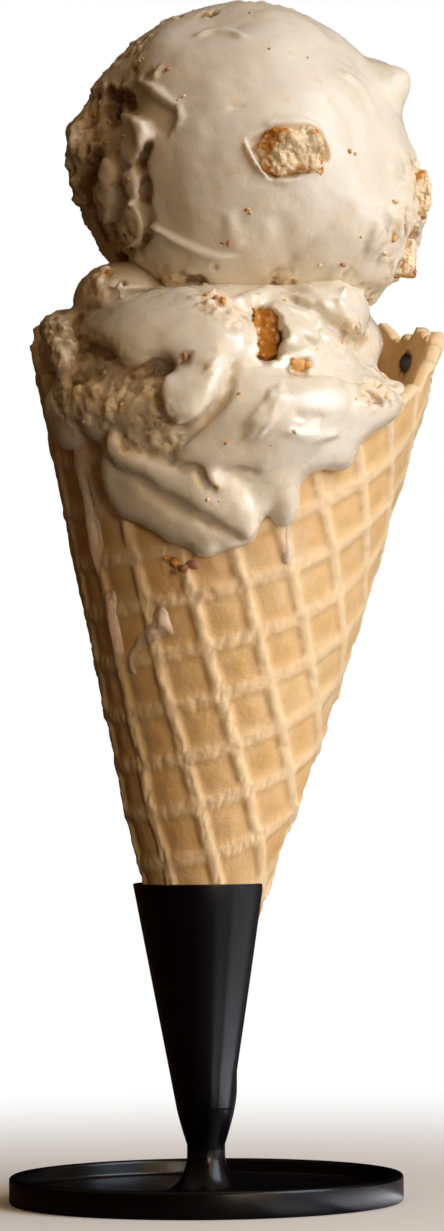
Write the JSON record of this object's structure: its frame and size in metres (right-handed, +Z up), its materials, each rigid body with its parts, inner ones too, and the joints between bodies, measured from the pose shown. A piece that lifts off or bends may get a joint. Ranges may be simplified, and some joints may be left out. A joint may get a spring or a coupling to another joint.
{
  "type": "ice cream cone",
  "caption": "Scoops of ice cream with biscuit chunks in a rolled waffle cone, standing in a slotted cone stand with a round tray base.",
  "frame": {"origin": "centre of the stand's flat underside", "axes": "+Z up along the stand's axis; the stand's slot opens towards +X and the cone leans slightly towards +X; the shown side faces -Y"},
  "size_m": [0.0818, 0.0783, 0.2206],
  "materials": {
    "stand": "satin black coating",
    "waffle": null,
    "ice_cream": null,
    "biscuit": null
  },
  "bodies": {
    "root": {"cone_holder": "stand", "waffle_cone": "waffle", "lower_scoop": "ice_cream", "upper_scoop": "ice_cream", "biscuit_chunk_front": "biscuit", "biscuit_chunk_right": "biscuit", "biscuit_chunk_skirt": "biscuit", "biscuit_chunk_low": "biscuit"}
  },
  "joints": []
}
